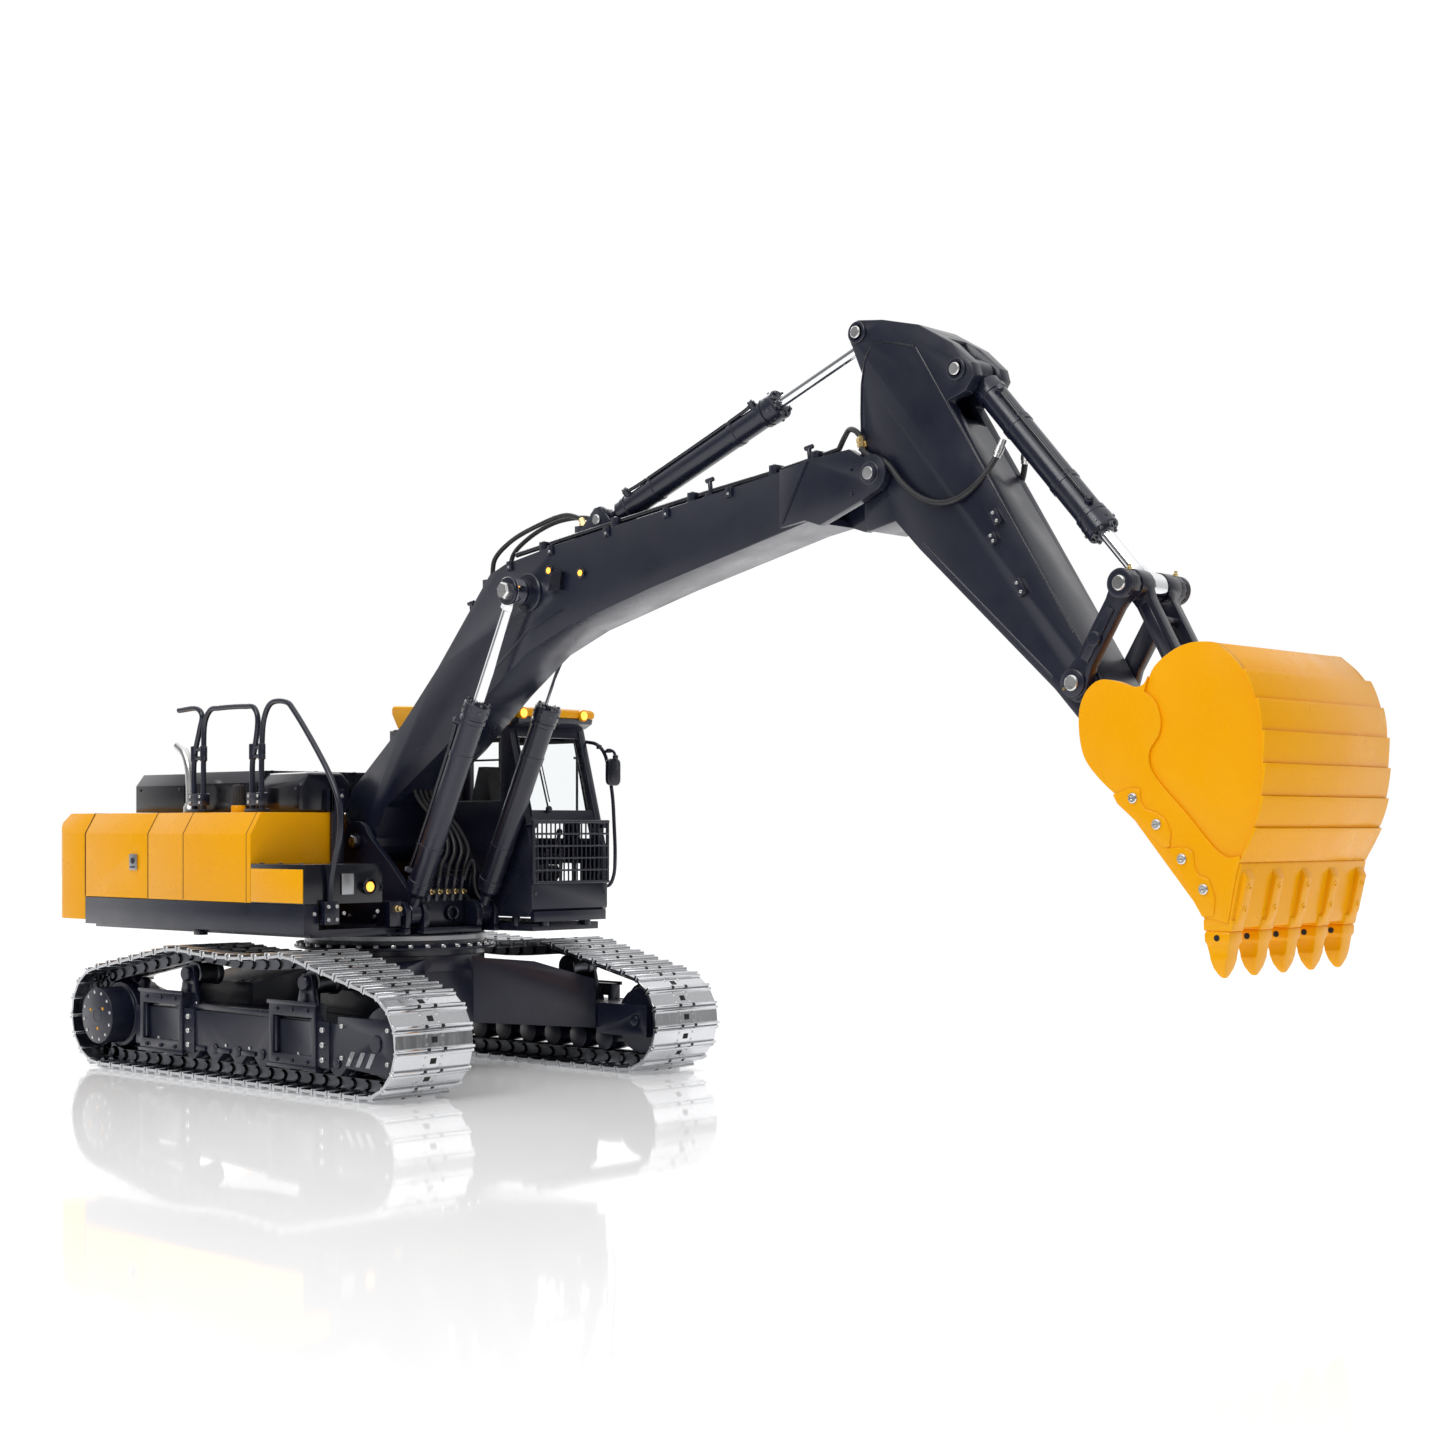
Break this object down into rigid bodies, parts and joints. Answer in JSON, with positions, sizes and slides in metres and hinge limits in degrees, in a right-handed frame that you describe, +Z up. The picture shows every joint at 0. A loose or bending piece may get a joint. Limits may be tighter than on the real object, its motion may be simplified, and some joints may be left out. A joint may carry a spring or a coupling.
{
  "type": "model hydraulic excavator",
  "caption": "Crawler excavator model with a swinging cab and body on tracks, and a boom, arm and toothed bucket moved by cylinders.",
  "frame": {"origin": "on the ground under the middle of the whole length, boom out; the axis that the upper body swings about is at x = -0.246, y = 0", "axes": "+X ahead, towards the bucket; +Y to the machine's left, the cab's side; +Z up"},
  "size_m": [1.016, 0.3, 0.481],
  "materials": {
    "paint_black": "semi-gloss blue-black paint",
    "paint_yellow": "gloss orange-yellow paint",
    "bright_steel": "bright plated steel",
    "chrome": "polished chrome plating",
    "glass": "clear",
    "vinyl": "matt black",
    "cast_metal": "satin grey",
    "rubber": "black hose rubber",
    "brass": "satin brass fittings",
    "lamp": "lit warm white lens"
  },
  "bodies": {
    "undercarriage": {"center_frame": "paint_black", "slew_ring": "cast_metal", "track_left": "bright_steel", "track_right": "bright_steel", "track_frame_left": "paint_black", "track_frame_right": "paint_black"},
    "house": {"deck_frame": "paint_black", "counterweight": "paint_yellow", "body_right": "paint_yellow", "body_left": "paint_yellow", "tank_cover": "paint_black", "exhaust": "cast_metal", "filler_cap": "paint_yellow", "step_box": "paint_black", "handrail_rear": "paint_black", "handrail_middle": "paint_black", "handrail_front": "paint_black", "cab_frame": "paint_black", "cab_roof": "paint_yellow", "front_guard": "paint_black", "windscreen": "glass", "glass_right": "glass", "glass_rear": "glass", "seat": "vinyl", "mirror": "paint_black", "valve_block": "cast_metal", "battery": "vinyl", "pump": "cast_metal"},
    "side_door": {"side_door": "paint_yellow"},
    "engine_hood": {"engine_hood": "paint_black"},
    "cab_door": {"cab_door": "paint_black", "door_glass": "glass", "door_glass_low": "glass"},
    "boom": {"boom": "paint_black", "boom_pipes": "cast_metal"},
    "arm": {"arm": "paint_black"},
    "arm_barrel": {"arm_barrel": "paint_black"},
    "arm_rod": {"arm_rod": "chrome"},
    "rocker": {"rocker": "paint_black"},
    "link": {"link": "paint_black"},
    "bucket_rod": {"bucket_rod": "chrome"},
    "bucket_barrel": {"bucket_barrel": "paint_black"},
    "bucket": {"bucket": "paint_yellow", "tooth_1": "paint_yellow", "tooth_2": "paint_yellow", "tooth_3": "paint_yellow", "tooth_4": "paint_yellow", "tooth_5": "paint_yellow"},
    "sprocket_left": {"sprocket_left": "paint_black"},
    "idler_left": {"idler_left": "paint_black"},
    "carrier_roller_front_left": {"carrier_roller_front_left": "paint_black"},
    "carrier_roller_rear_left": {"carrier_roller_rear_left": "paint_black"},
    "sprocket_right": {"sprocket_right": "paint_black"},
    "idler_right": {"idler_right": "paint_black"},
    "carrier_roller_front_right": {"carrier_roller_front_right": "paint_black"},
    "carrier_roller_rear_right": {"carrier_roller_rear_right": "paint_black"},
    "boom_rod_left": {"boom_rod_left": "chrome"},
    "boom_barrel_left": {"boom_barrel_left": "paint_black"},
    "boom_rod_right": {"boom_rod_right": "chrome"},
    "boom_barrel_right": {"boom_barrel_right": "paint_black"}
  },
  "joints": [
    {"name": "slew", "type": "hinge", "parent": "undercarriage", "child": "house", "pos_m": [-0.246, 0, 0.095], "axis": [0, 0, 1], "continuous": true},
    {"name": "sprocket_left", "type": "hinge", "parent": "undercarriage", "child": "sprocket_left", "pos_m": [-0.41, 0.1175, 0.0385], "axis": [0, 1, 0], "continuous": true},
    {"name": "idler_left", "type": "hinge", "parent": "undercarriage", "child": "idler_left", "pos_m": [-0.0935, 0.1175, 0.0375], "axis": [0, 1, 0], "continuous": true},
    {"name": "carrier_roller_front_left", "type": "hinge", "parent": "undercarriage", "child": "carrier_roller_front_left", "pos_m": [-0.176, 0.1175, 0.073], "axis": [0, 1, 0], "continuous": true},
    {"name": "carrier_roller_rear_left", "type": "hinge", "parent": "undercarriage", "child": "carrier_roller_rear_left", "pos_m": [-0.316, 0.1175, 0.073], "axis": [0, 1, 0], "continuous": true},
    {"name": "sprocket_right", "type": "hinge", "parent": "undercarriage", "child": "sprocket_right", "pos_m": [-0.41, -0.1175, 0.0385], "axis": [0, 1, 0], "continuous": true},
    {"name": "idler_right", "type": "hinge", "parent": "undercarriage", "child": "idler_right", "pos_m": [-0.0935, -0.1175, 0.0375], "axis": [0, 1, 0], "continuous": true},
    {"name": "carrier_roller_front_right", "type": "hinge", "parent": "undercarriage", "child": "carrier_roller_front_right", "pos_m": [-0.176, -0.1175, 0.073], "axis": [0, 1, 0], "continuous": true},
    {"name": "carrier_roller_rear_right", "type": "hinge", "parent": "undercarriage", "child": "carrier_roller_rear_right", "pos_m": [-0.316, -0.1175, 0.073], "axis": [0, 1, 0], "continuous": true},
    {"name": "side_door", "type": "hinge", "parent": "house", "child": "side_door", "pos_m": [-0.4603, -0.1286, 0.157], "axis": [0, 0, -1], "range_deg": [0, 100]},
    {"name": "engine_hood", "type": "hinge", "parent": "house", "child": "engine_hood", "pos_m": [-0.458, -0.025, 0.1896], "axis": [0, -1, 0], "range_deg": [0, 60]},
    {"name": "cab_door", "type": "hinge", "parent": "house", "child": "cab_door", "pos_m": [-0.256, 0.1212, 0.184], "axis": [0, 0, 1], "range_deg": [0, 110]},
    {"name": "boom", "type": "hinge", "parent": "house", "child": "boom", "pos_m": [-0.258, 0, 0.168], "axis": [0, -1, 0], "range_deg": [-35, 15]},
    {"name": "boom_rod_left", "type": "hinge", "parent": "boom", "child": "boom_rod_left", "pos_m": [-0.077, 0.033, 0.3385], "axis": [0, -1, 0], "range_deg": [-0.2, 0.2]},
    {"name": "boom_barrel_left", "type": "slide", "parent": "boom_rod_left", "child": "boom_barrel_left", "axis": [-0.448, 0, -0.894], "range_m": [-0.0515, 0.0222]},
    {"name": "boom_rod_right", "type": "hinge", "parent": "boom", "child": "boom_rod_right", "pos_m": [-0.077, -0.033, 0.3385], "axis": [0, -1, 0], "range_deg": [-0.2, 0.2]},
    {"name": "boom_barrel_right", "type": "slide", "parent": "boom_rod_right", "child": "boom_barrel_right", "axis": [-0.448, 0, -0.894], "range_m": [-0.0515, 0.0222]},
    {"name": "arm", "type": "hinge", "parent": "boom", "child": "arm", "pos_m": [0.227, 0, 0.387], "axis": [0, -1, 0], "range_deg": [-50, 20]},
    {"name": "arm_barrel", "type": "hinge", "parent": "boom", "child": "arm_barrel", "pos_m": [-0.018, 0, 0.384], "axis": [0, -1, 0], "range_deg": [-6.7, 2.8]},
    {"name": "arm_rod", "type": "slide", "parent": "arm_barrel", "child": "arm_rod", "axis": [0.9329, 0, 0.3601], "range_m": [-0.0272, 0.0672]},
    {"name": "bucket", "type": "hinge", "parent": "arm", "child": "bucket", "pos_m": [0.399, 0, 0.219], "axis": [0, -1, 0], "range_deg": [-90, 20]},
    {"name": "rocker", "type": "hinge", "parent": "arm", "child": "rocker", "pos_m": [0.371, 0, 0.257], "axis": [0, -1, 0], "range_deg": [-72.2, 16.2]},
    {"name": "link", "type": "hinge", "parent": "rocker", "child": "link", "pos_m": [0.4025, 0, 0.309], "axis": [0, -1, 0], "range_deg": [-11.8, 52.3]},
    {"name": "bucket_rod", "type": "hinge", "parent": "rocker", "child": "bucket_rod", "pos_m": [0.4025, 0, 0.309], "axis": [0, -1, 0], "range_deg": [-15.5, 69]},
    {"name": "bucket_barrel", "type": "slide", "parent": "bucket_rod", "child": "bucket_barrel", "axis": [-0.6617, 0, 0.7498], "range_m": [-0.0155, 0.069]}
  ],
  "couplings": [
    {"joint": "idler_left", "follows": "sprocket_left", "ratio": 1.034},
    {"joint": "carrier_roller_front_left", "follows": "sprocket_left", "ratio": 3.44},
    {"joint": "carrier_roller_rear_left", "follows": "sprocket_left", "ratio": 3.44},
    {"joint": "idler_right", "follows": "sprocket_right", "ratio": 1.034},
    {"joint": "carrier_roller_front_right", "follows": "sprocket_right", "ratio": 3.44},
    {"joint": "carrier_roller_rear_right", "follows": "sprocket_right", "ratio": 3.44},
    {"joint": "boom_rod_left", "follows": "boom", "ratio": 0.0036},
    {"joint": "boom_barrel_left", "follows": "boom", "m_per_rad": 0.08397},
    {"joint": "boom_rod_right", "follows": "boom", "ratio": 0.0036},
    {"joint": "boom_barrel_right", "follows": "boom", "m_per_rad": 0.08397},
    {"joint": "arm_barrel", "follows": "arm", "ratio": 0.1316},
    {"joint": "arm_rod", "follows": "arm", "m_per_rad": -0.07683},
    {"joint": "rocker", "follows": "bucket", "ratio": 0.7998},
    {"joint": "link", "follows": "bucket", "ratio": -0.578},
    {"joint": "bucket_rod", "follows": "bucket", "ratio": -0.7644},
    {"joint": "bucket_barrel", "follows": "bucket", "m_per_rad": -0.04378}
  ]
}
